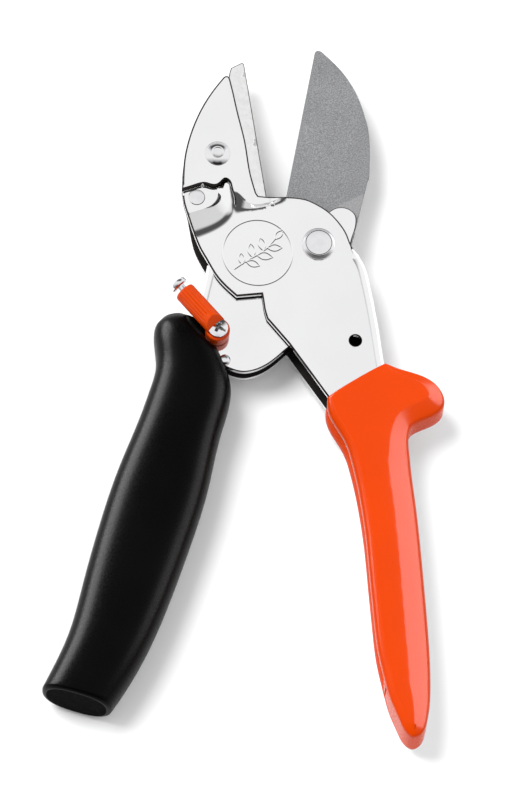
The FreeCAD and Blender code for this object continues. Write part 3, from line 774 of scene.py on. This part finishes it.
def handle_outline():
    return loop(
        (2.5, -46.9),
        [(2.5, -49.8), (3.6, -53.2), (5.7, -56.8), (7.9, -61), (9.4, -66), (10.9, -72.6), (12.2, -80),
         (13.3, -88), (14.5, -101), (15.7, -114), (16.9, -124), (18.4, -131), (20.6, -139),
         (22.9, -144.6), (24.8, -148.2), (27.1, -149.6), (29.3, -148.4), (30.6, -145.4), (31.6, -139.6),
         (31.9, -132), (31.6, -121.8), (30.7, -109.1), (29.3, -92.4), (27.6, -76.2), (26.7, -69.2),
         (26, -62.5), (25.8, -57.5), (26.6, -55), (28.9, -53.3), (32.4, -51.7), (35.2, -49.6),
         (36.1, -47.4), (35.4, -44.3), (33, -41.5), (29.2, -39.6), (24.8, -38.4), (21.8, -37.5),
         (20.2, -36.8), (19, -36.4)],
        (15.9, -38.2),
        [(10, -41.9), (2.5, -46.9)],
        step=0.9,
    )


def make_handle():
    """Two facing plates whose rims turn down, along the right side and round the lower end, into one web."""
    outline = handle_outline()
    x, y = outline[:, 0], outline[:, 1]
    middle = np.interp(-y, [40, 60, 76, 92, 105, 120, 130, 140, 147, 152],
                       [17, 16, 18.5, 20.5, 22, 23, 24, 25.8, 26.8, 27.3])
    weight = spread((((x > middle) & (y < -37)) | (y < -137)).astype(float), 9)
    bends = np.interp(-y, [37, 41, 46, 56, 66, 120, 134, 143, 147, 152],
                      [1.2, 3.4, 5.0, 5.0, 6.8, 7.0, 6.4, 4.4, 3.4, 3.2])
    bends = np.where((x < middle) & (y > -149), np.interp(-y, [134, 146, 149], [1.8, 2.4, 3.2]), bends)
    rims = spread(np.where((y > -46.8) & (x < 19.5), 0.5, 2.3), 9)
    whole = both_sides(sheet(outline, flat(COAT), flat(COAT_INSIDE), rims, fold=weight, bend=bends,
                             wall=COAT_WALL, spacing=3.0, under=1.4, section=FACET))
    start = int(np.argmax((y < -134) & (x < 22)))
    run = [i for i in np.roll(np.arange(len(outline)), -start) if weight[i] > 0.03]
    half = (weight * (COAT - bends) + (1 - weight) * COAT_INSIDE)[run]
    whole.join(web(outline[run], COAT_WALL, half))
    return whole


handle = make_handle().build("dipped_handle", "anvil_body", skin, "handle_coating", angle=40)
# Its bounced light would tint the shadow beside it, which is grey in the photograph
handle.visible_diffuse = False


# ---------------- anvil, its rivet, the pivot

ANVIL_RIVET_AT = (-28.9, 28)
JAW_RIVET_AT = (-34.8, 15.3)
ANVIL_LEAN = radians(8.95)
ANVIL_OFFSET = 12.15


def anvil_point(distance_along, depth=0.0):
    """A point that far up the anvil's face, and depth behind it."""
    across = ANVIL_OFFSET + depth
    return (
        -distance_along * sin(ANVIL_LEAN) - across * cos(ANVIL_LEAN),
        distance_along * cos(ANVIL_LEAN) - across * sin(ANVIL_LEAN),
    )


def make_anvil():
    at = anvil_point
    outline = loop(
        at(14.5),
        at(59.2),
        [at(59.8, 0.4), at(59.6, 1)],
        at(58.6, 3.9),
        at(57.1, 4.6),
        at(45, 8.5),
        at(38, 13.6),
        [at(34, 15.5), at(29, 15), at(25.5, 11)],
        at(20, 6.5),
        at(14.5, 3),
        step=0.9,
    )
    # The bar's rims get the near-black finish: painted shade and painted dark reflection along its edges.
    return sheet(outline, flat(JAW - SHEET), flat(SHEET - JAW), 0.3, spacing=1.5, rim_finish=1)


make_anvil().build("anvil_bar", "anvil_body", [bar_steel, edge_shade], "anvil")

# The rivets and the pivot's bolt, from the bottom of each profile to its top
lathe(rounded([
    (0, -JAW - 1.2), (2.4, -JAW - 1.2), (3.8, -JAW - 0.5), (3.85, -JAW), (2.0, -JAW), (2.0, JAW),
    (3.72, JAW), (3.6, JAW + 0.3), (3.15, JAW + 0.62), (2.5, JAW + 0.92), (1.95, JAW + 1.08),
    (1.62, JAW + 1.08), (1.42, JAW + 0.92), (0, JAW + 0.86),
], 0.3), ANVIL_RIVET_AT).build("anvil_rivet_turned", "anvil_body", plated, "anvil_rivet")

# The head's rim on its right and lower side gets the near-black finish: a painted shadow crescent in the gap
# round the rivet.
lathe(rounded([
    (0, -TAB - 0.24), (2.3, -TAB - 0.22), (2.4, -TAB), (2.4, TAB), (2.3, TAB + 0.16), (1.2, TAB + 0.18),
    (0, TAB + 0.18),
], 0.1), JAW_RIVET_AT, second=lambda x, y, r, z: r > 2.22 and z > TAB and x * 0.9 - y * 0.5 > -0.4).build(
    "jaw_rivet_turned", "anvil_body", [plated, edge_shade], "jaw_rivet")

# The thin ring in the head's top groove gets the near-black finish: painted shade in the groove.
lathe(rounded([
    (0, -MID), (3.5, -MID), (4.0, -MID + 0.5), (4.0, HEAD), (4.75, HEAD), (4.75, HEAD + 0.7),
    (3.95, HEAD + 1.5), (3.8, HEAD + 1.5), (3.7, HEAD + 1.42), (3.6, HEAD + 1.5), (0, HEAD + 1.5),
], 0.12), (0, 0), 96, second=lambda x, y, r, z: z > HEAD + 0.8 and 3.62 < r < 3.78).build(
    "pivot_bolt_turned", "anvil_body", [plated, edge_shade], "pivot_bolt")


def make_nut():
    """Hexagon nut round the bolt, with chamfered corners; a profile radius of 0 stands for the hexagon."""
    flats, thick, count = 12.0, 3.4, 96
    rows = []
    vertices = []
    for r, z in [(4.02, 0.25), (4.35, 0), (5.7, 0), (0, 0.8), (0, thick - 0.25), (5.9, thick), (4.02, thick)]:
        rows.append(range(len(vertices), len(vertices) + count))
        for i in range(count):
            turn = 2 * pi * i / count
            sector = (turn + pi / 6) % (pi / 3) - pi / 6
            hexagon = flats / 2 / cos(sector)
            chamfer = (hexagon - flats / 2) * 0.5 - 0.4 if r == 0 and z < 1.0 else 0.0
            around = turn + pi / 6
            vertices.append(((r or hexagon) * cos(around), (r or hexagon) * sin(around),
                             -MID + z + chamfer))
    return Shape(vertices, walls(rows + rows[:1]))


make_nut().build("pivot_nut_hexagon", "anvil_body", plated, "pivot_nut")


# ---------------- lever and blade

BUSH_HOLE_R = 4.95
LEVER_LEFT = [(-31.8, -5.9), (-33.7, -14.4), (-38, -32), (-42.5, -48), (-47.5, -66)]


def make_lever():
    outline = loop(
        LEVER_LEFT[0],
        LEVER_LEFT[1:],
        (-37, -66),
        [(-36, -62), (-32, -46), (-30.5, -38.5)],
        (-26.8, -37),
        [(-21.6, -38.6), (-19.2, -38.3), (-14.5, -36.1), (-9.7, -31.9)],
        (-4.5, -27.3),
        (5.5, -7.8),
        [(8, -4.9), (9.35, -0.9)],
        [(9.5, 1.9), (10.4, 4.9), (11, 8.2), (10.7, 10.2), (9.2, 11.8), (7.1, 12.5), (4.5, 12), (3.2, 11.1)],
        [(0, 10.2), (-6, 7.8), (-14, 1.5)],
        LEVER_LEFT[0],
    )
    folded = (distance(LEVER_LEFT, outline) < 0.4) & (outline[:, 1] > -65.5) & (outline[:, 1] < -6.5)
    # Its rims get the near-black finish, as painted shade and painted dark reflection along the edges, and
    # its inside is near-black, as painted shade between the walls.
    whole = both_sides(sheet(
        outline, flat(LEVER), flat(BLADE), 0.35, holes=[circle((0, 0), BUSH_HOLE_R, 64)],
        fold=spread(folded.astype(float), 2), bend=FOLD_R, rim_finish=1, inner_finish=2,
    ))
    whole.join(web(cubic(LEVER_LEFT, 1.2), SHEET, LEVER - FOLD_R, inner_finish=2))
    return whole


make_lever().build("lever_walls", "lever", [chrome, edge_shade, inside_shade], "lever_frame")

BLADE_LEAN = radians(10.35)
BLADE_OFFSET = 11.85
GRIND = 16.0                    # width of the ground bevel, from the cutting edge
EDGE_HALF = 0.12                # half thickness at the cutting edge


def edge_point(distance_along):
    """A point that far up the cutting edge."""
    return (
        distance_along * sin(BLADE_LEAN) - BLADE_OFFSET * cos(BLADE_LEAN),
        distance_along * cos(BLADE_LEAN) + BLADE_OFFSET * sin(BLADE_LEAN),
    )


def blade_half(xy):
    """Half thickness: thin at the cutting edge, full at the back and where the grind hasn't begun."""
    depth = xy[:, 0] * cos(BLADE_LEAN) - xy[:, 1] * sin(BLADE_LEAN) + BLADE_OFFSET
    ground = EDGE_HALF + (BLADE - EDGE_HALF) * np.clip(depth / GRIND, 0, 1)
    start = smooth((xy[:, 1] * GRIND_NORMAL[1] + xy[:, 0] * GRIND_NORMAL[0] - GRIND_AT + 0.3) / 0.6)
    return BLADE + (ground - BLADE) * start


def make_blade():
    outline = loop(
        (-17.2, -7),
        [(-14, -9.5), (0, -9), (4.5, -7.6), (8, -4.6), (9.2, -0.9), (9.7, 1.9), (11.4, 9),
         (12.1, 12), (13.4, 17.6), (14.6, 22.6)],
        (14.85, 22.9),
        [(15, 31.2), (14.6, 37), (13.5, 41.7), (12.2, 45.8), (10.2, 50.4), (7.9, 54.2), (5.3, 57.5),
         (2.2, 60.7)],
        [(1, 61.8), (0, 62.1), (-0.75, 61.5)],
        edge_point(8),
        (-14, -0.5),
        [(-16.5, -2.5), (-17.2, -7)],
    )
    return sheet(outline, blade_half, lambda xy: -blade_half(xy), 0.22,
                 holes=[circle((0, 0), BUSH_HOLE_R, 64)], spacing=1.6)


make_blade().build("blade_ground", "lever", coated, "blade")

lathe(rounded([
    (0, -LEVER - 0.58), (1.3, -LEVER - 0.56), (1.65, -LEVER), (1.0, -LEVER), (1.0, LEVER), (1.7, LEVER),
    (1.65, LEVER + 0.45), (1.0, LEVER + 1), (0, LEVER + 1.14),
], 0.25), (-26.8, -35.2), 40).build("lever_rivet_turned", "lever", plated, "lever_rivet")


# ---------------- grip

LOCK_AT = np.array([-29.0, -27.4])
LOCK_DIR = heading(131)
STRUT = 8.8                     # height of the strut's axis
EYE_ROOM = 4.05                 # radius kept free round the lock's eye
# Left point, right point and half thickness at stations down the grip
GRIP = [
    ((-45, -22.4), (-38, -20.9), 4.4),
    ((-46.6, -24.6), (-34.4, -22.6), 6.9),
    ((-46.9, -29), (-31.3, -26.6), 8.9),
    ((-46.4, -36.5), (-27.2, -34.9), 9.6),
    ((-48.2, -43.9), (-24.9, -43.3), 9.7),
    ((-51.5, -53.6), (-27.4, -55.6), 9.7),
    ((-57, -67.8), (-31.2, -72.9), 9.7),
    ((-62.5, -85.3), (-36.8, -92.1), 9.7),
    ((-67, -102.6), (-42.7, -109.1), 9.7),
    ((-71.2, -118.5), (-49.3, -124.9), 9.5),
    ((-76.2, -130.2), (-55.8, -136.6), 9.2),
    ((-78.55, -135), (-58.6, -140.9), 8.9),
]


def make_grip():
    """Loft of squarish ovals through GRIP's stations, with rounded ends and room for the lock."""
    rows = np.array(cubic([(*a, *b, h) for a, b, h in GRIP], 1.3))
    count = 72
    power = 2 / 2.5
    lock_side = np.array([-LOCK_DIR[1], LOCK_DIR[0]])
    vertices = []
    rings = []

    def clear_of_lock(z, p):
        """Lowers a point under the strut and moves one beside the eye away from it."""
        from_eye = p - LOCK_AT
        if -6.0 < float(from_eye @ LOCK_DIR) < 24.0:
            aside = abs(float(from_eye @ lock_side))
            z = min(z, STRUT - 3.45 + max(0.0, aside - 3.2) * 1.4)
        away = norm(from_eye)
        if away < EYE_ROOM and z > LEVER:
            p = LOCK_AT + from_eye / away * EYE_ROOM
        return z, p

    def ring(station, shrink=0.0, shift=0.0):
        left, right, half = station[0:2], station[2:4], station[4]
        centre = (left + right) / 2
        across = (right - left) / 2
        width = norm(across)
        unit = across / width
        down = np.array([unit[1], -unit[0]])
        rings.append(list(range(len(vertices), len(vertices) + count)))
        for i in range(count):
            turn = 2 * pi * (i + 0.5) / count
            c, s = cos(turn), sin(turn)
            u = (width - shrink) * copysign(abs(c) ** power, c)
            z = (half - shrink) * copysign(abs(s) ** power, s)
            p = centre + unit * u + down * shift
            if z > 0:
                z, p = clear_of_lock(z, p)
            vertices.append((p[0], p[1], z))

    for shrink, shift in ((3.6, -1), (2.2, -0.9), (1.1, -0.65), (0.35, -0.3)):
        ring(rows[0], shrink, shift)
    for station in rows:
        ring(station)
    for shrink, shift in ((0.25, 0.5), (0.8, 0.9), (1.5, 1.05)):
        ring(rows[-1], shrink, shift)
    faces = [(low[i], high[i], high[(i + 1) % count], low[(i + 1) % count])
             for low, high in zip(rings, rings[1:]) for i in range(count)]
    faces += [rings[0], rings[-1][::-1]]
    return Shape(vertices, faces, [0] * (len(faces) - 1) + [1], flip=True)


grip = make_grip().build("grip_moulded", "lever", [black, cut_black], "grip", angle=50)


# ---------------- lock

EYE_R = 3.5
EYE_TOP = STRUT - 0.6
HEAD_ROOM = 3.15                # radius of the pocket round the screw's head
SLEEVE_R = 3.05
SLEEVE_TO = 14.9                # distance of its far end from the eye's axis


def make_lock_lever():
    """Upright eye, and a ribbed round sleeve whose near end is hollowed round the screw's head."""
    shape = lathe(rounded([
        (1.6, LEVER + 0.2), (EYE_R - 0.2, LEVER + 0.2), (EYE_R, LEVER + 0.5), (EYE_R, EYE_TOP - 0.4),
        (EYE_R - 0.35, EYE_TOP), (1.6, EYE_TOP), (1.6, LEVER + 0.2),
    ], 0.25), LOCK_AT, 64)
    count = 144
    ribs = 18
    along, side, up = axes(LOCK_DIR)
    centre = np.array([*LOCK_AT, STRUT])
    # Distance from the eye's axis, 0 for the hollowed end, and share of the sleeve's radius
    stations = [(0, 1), (4.3, 1), (4.6, 1), (4.8, 1), (6.5, 1), (9, 1), (12, 1), (14, 1),
                (14.3, 0.99), (14.65, 0.95), (SLEEVE_TO - 0.05, 0.86), (SLEEVE_TO, 0.80)]
    vertices = []
    for at, size in stations:
        for i in range(count):
            turn = 2 * pi * i / count
            groove = (0.5 - 0.5 * cos(turn * ribs)) ** 6
            ribbed = 4.5 < at < 14.2 and cos(turn) > -0.3
            radius = SLEEVE_R * size - (0.22 * groove if ribbed else 0)
            across = radius * sin(turn)
            height = max(radius * cos(turn), HEAD + 0.45 - STRUT)
            away = at or sqrt(max(HEAD_ROOM ** 2 - across ** 2, 0.04))
            vertices.append(centre + along * away + side * across + up * height)
    rows = [range(k * count, (k + 1) * count) for k in range(len(stations))]
    faces = walls(rows, reverse=True)
    for i in range(count // 2):
        strip = tuple(dict.fromkeys((i, i + 1, (count - i - 1) % count, (count - i) % count)))
        if len(strip) > 2:
            faces.append(strip)
    faces.append(rows[-1][::-1])
    shape.join(Shape(vertices, faces))
    return shape


make_lock_lever().build("lock_lever_moulded", "lock", orange, "lock_lever", angle=40)

slotted_pin(
    (*LOCK_AT, STRUT), LOCK_DIR,
    [(0, 14.7), (1.2, 14.7), (1.2, 15.9), (1.25, 16.35), (2.2, 16.4), (2.5, 16.6), (2.6, 16.9), (2.6, 17.7),
     (2.45, 18), (2.2, 18.17), (1.8, 18.2), (0.9, 18.2), (0, 18.2)],
    half_slot=0.4, slot_depth=0.7,
).build("lock_stud_turned", "lock", plated, "lock_stud")


def screw_dome(r):
    """Height of the screw's head at a distance from its axis."""
    return STRUT + 0.95 - 0.058 * r * r


def cross_recess(x, y, radius, z):
    """What the head's long slot and its shorter, deeper cross take off its height."""
    if z < STRUT + 0.5:
        return 0.0
    turn = radians(-27)
    u = x * cos(turn) + y * sin(turn)
    v = -x * sin(turn) + y * cos(turn)
    across = min(abs(u), abs(v))
    reach = max(abs(u), abs(v))
    wing = (1 - min(1.0, across / 0.45) ** 4) * (1 - min(1.0, reach / 1.5) ** 3)
    slot = (1 - min(1.0, abs(v) / 0.3) ** 4) * (1 - min(1.0, abs(u) / 2.5) ** 8)
    return -max(0.9 * wing, 0.35 * slot)


# Faces sunk below the head's dome get the dark recess finish: painted shade in the cross recess.
lathe(
    [(0, BLADE - 2.4), (1.5, BLADE - 2.4), (1.5, STRUT), (2.8, STRUT), (2.9, STRUT + 0.12),
     (2.9, STRUT + 0.3), (2.8, STRUT + 0.5)]
    + [(r, screw_dome(r)) for r in np.arange(2.7, 0.05, -0.1)] + [(0, screw_dome(0))],
    LOCK_AT, 120, dent=cross_recess,
    second=lambda x, y, r, z: r < 2.6 and STRUT < z < screw_dome(r) - 0.12,
).build("lock_screw_turned", "lever", [plated, recess_shade], "lock_screw")


# ---------------- opening spring

SEAT_AT = np.array([1.2, -16.2])
SPRING_DIR = heading(-27.1)
SPRING_FROM = 1.75              # the wire's first and last middle, along the axis from SEAT_AT
SPRING_TO = 13.75
WIRE_R = 0.5
COIL_R = 2.8


def make_spring():
    """Seven turns of round wire, the first and last of them nearly closed."""
    turns = 7
    steps = 34
    ring = 10
    along, side, up = axes(SPRING_DIR)
    total = turns * steps
    closed = 1.0 / turns
    vertices = []
    for k in range(total + 1):
        t = k / total
        rise = min(1.0, max(0.0, (t - closed * 0.8) / (1 - 1.6 * closed)))
        first, last = min(1, t / closed), min(1, max(0, (t - 1 + closed) / closed))
        run = SPRING_FROM + (SPRING_TO - SPRING_FROM) * (0.04 * first + 0.92 * rise + 0.04 * last)
        turn = 2 * pi * turns * t
        out = side * cos(turn) + up * sin(turn)
        centre = np.array([*SEAT_AT, 0.0]) + along * run + out * COIL_R
        for i in range(ring):
            a = 2 * pi * i / ring
            vertices.append(centre + out * (WIRE_R * cos(a)) + along * (WIRE_R * sin(a)))
    rows = [range(k * ring, (k + 1) * ring) for k in range(total + 1)]
    return Shape(vertices, walls(rows) + [rows[0][::-1], rows[-1]], flip=True)


coil = make_spring().build("opening_spring_coil", None, spring_wire, "opening_spring")
# One end stays on the lever's button, the other in the web's cup
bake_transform(coil)

# CAD nodes that keep their shape
for node, finish in {
    "pivot_washer": plated, "pivot_bush": brass, "spring_cup": seat_plastic, "spring_button": seat_plastic,
    "lock_washer": plated, "lock_nut": plated, "blade_rivets": plated,
}.items():
    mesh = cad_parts[node].data
    mesh.materials.clear()
    mesh.materials.append(finish)


# ---------------- floor, light, camera

FLOOR_HALF = 2.5
FLOOR_Z = -0.0002
floor_mesh = bpy.data.meshes.new("floor")
corners = [(x * FLOOR_HALF, y * FLOOR_HALF, FLOOR_Z) for x, y in ((-1, -1), (1, -1), (1, 1), (-1, 1))]
floor_mesh.from_pydata(corners, [], [(0, 1, 2, 3)])
floor_mesh.materials.append(surface("floor_paper", (0.93, 0.93, 0.93), (0.92, 0.92, 0.92), 0.0, 0.9, 0.04,
                                    2.0, 2.0, 0.004, blotch=200.0, specular=0.0))
floor = place("floor", floor_mesh)

world = bpy.data.worlds.new("studio")
bpy.context.scene.world = world
world.use_nodes = True
sky = world.node_tree


def ramp(value, low, high, stops):
    """Grey levels at stops along a value."""
    made = add_node(sky, "ValToRGB", {"Fac": remap(sky, value, low, high)})
    elements = made.color_ramp.elements
    while len(elements) < len(stops):
        elements.new(0.5)
    for element, (at, level) in zip(elements, stops):
        element.position = (at - low) / (high - low)
        element.color = (level, level, level, 1.0)
    return made.outputs["Color"]


def maths(operation, *values):
    """Result of a maths node on outputs and numbers."""
    return add_node(sky, "Math", dict(enumerate(values)), operation=operation).outputs["Value"]


# The studio's sky by height, with a dark band, before and behind the tool; plain light on its left and right;
# and all of it darker towards -Y, the camera's side
direction = add_node(sky, "SeparateXYZ", {"Vector": sky.nodes.new("ShaderNodeTexCoord").outputs["Generated"]})
X, Y, Z = [direction.outputs[axis] for axis in "XYZ"]
ends = ramp(Z, -1.0, 1.0, [
    (-1.0, 0.8), (-0.02, 0.8), (0.0, 0.68), (0.34, 0.68), (0.44, 0.3), (0.52, 0.08), (0.78, 0.08),
    (0.85, 0.3), (0.905, 0.89), (1.0, 0.9),
])
sides = ramp(Z, -1.0, 1.0, [(-1.0, 0.8), (-0.02, 0.8), (0.0, 0.95), (1.0, 0.93)])
level_part = maths("SQRT", maths("SUBTRACT", 1.0001, maths("POWER", Z, 2.0)))
aside = ramp(maths("DIVIDE", maths("ABSOLUTE", X), level_part), 0.0, 1.0,
             [(0.0, 0.0), (0.48, 0.0), (0.72, 1.0), (1.0, 1.0)])
near = ramp(Y, -1.0, 1.0, [(-1.0, 0.25), (-0.62, 0.25), (-0.36, 0.6), (-0.1, 1.0), (1.0, 1.0)])
background = sky.nodes["Background"]
sky.links.new(mix(sky, 1.0, mix(sky, aside, ends, sides), near, "MULTIPLY"), background.inputs["Color"])
background.inputs["Strength"].default_value = 1.08


def lamp_from(name, kind, toward, energy, **settings):
    """A lamp object that shines from the direction toward."""
    lamp = bpy.data.lights.new(name, kind)
    lamp.energy = energy
    for key, value in settings.items():
        setattr(lamp, key, value)
    made = place(name, lamp)
    made.rotation_mode = "QUATERNION"
    made.rotation_quaternion = toward.to_track_quat("Z", "Y")
    return made


def sun(name, azimuth, elevation, strength, width):
    """Light from a direction, azimuth from +X towards +Y and width in degrees.  It isn't seen in reflections,
    where it would leave sharp white flecks."""
    a, e = radians(azimuth), radians(elevation)
    toward = Vector((cos(a) * cos(e), sin(a) * cos(e), sin(e)))
    lamp_from(name, "SUN", toward, strength, angle=radians(width)).visible_glossy = False


def softbox(name, at, size, power, pieces):
    """Square area light aimed at the tool, for the gloss on some pieces only."""
    made = lamp_from(name, "AREA", Vector(at) - Vector((-0.02, -0.04, 0.0)), power, size=size)
    made.location = at
    made.visible_diffuse = False
    made.visible_camera = False
    receivers = bpy.data.collections.new(name + "_pieces")
    for piece in pieces:
        receivers.objects.link(piece)
    made.light_linking.receiver_collection = receivers


sun("key", 150.0, 58.0, 2.7, 32.0)
sun("fill", 310.0, 55.0, 0.7, 60.0)
softbox("left_box", (-0.93, 0.68, 0.21), 1.0, 105.0, [handle, grip])
softbox("right_box", (0.85, 0.39, 0.69), 1.2, 112.0, [handle])
softbox("low_right_box", (1.04, 0.14, 0.33), 0.7, 14.0, [grip])

bpy.context.scene.view_settings.view_transform = "Standard"
LENS = 1000.0                   # very long, but near enough for the other views, which clip at 100 radii
SENSOR = 36.0
VIEW_WIDTH = 0.22857            # metres across the picture at the target
TILT = radians(69.1)       # the camera's elevation
LEAN = radians(2.8)        # and how far it stands to the left
camera_data = bpy.data.cameras.new("camera")
camera_data.lens = LENS
camera_data.sensor_width = SENSOR
camera_data.clip_start = 0.1
camera_data.clip_end = 60.0
camera = place("camera", camera_data)
bpy.context.scene.camera = camera
toward_camera = Vector((-sin(LEAN) * sin(TILT), -cos(TILT), cos(LEAN) * sin(TILT)))
right_axis = Vector((cos(LEAN), 0.0, sin(LEAN)))
up_axis = toward_camera.cross(right_axis)
camera.rotation_mode = "QUATERNION"
camera.rotation_quaternion = Matrix((right_axis, up_axis, toward_camera)).transposed().to_quaternion()
camera.location = Vector((-0.01854, -0.0481, 0.0155)) + toward_camera * (VIEW_WIDTH * LENS / SENSOR)
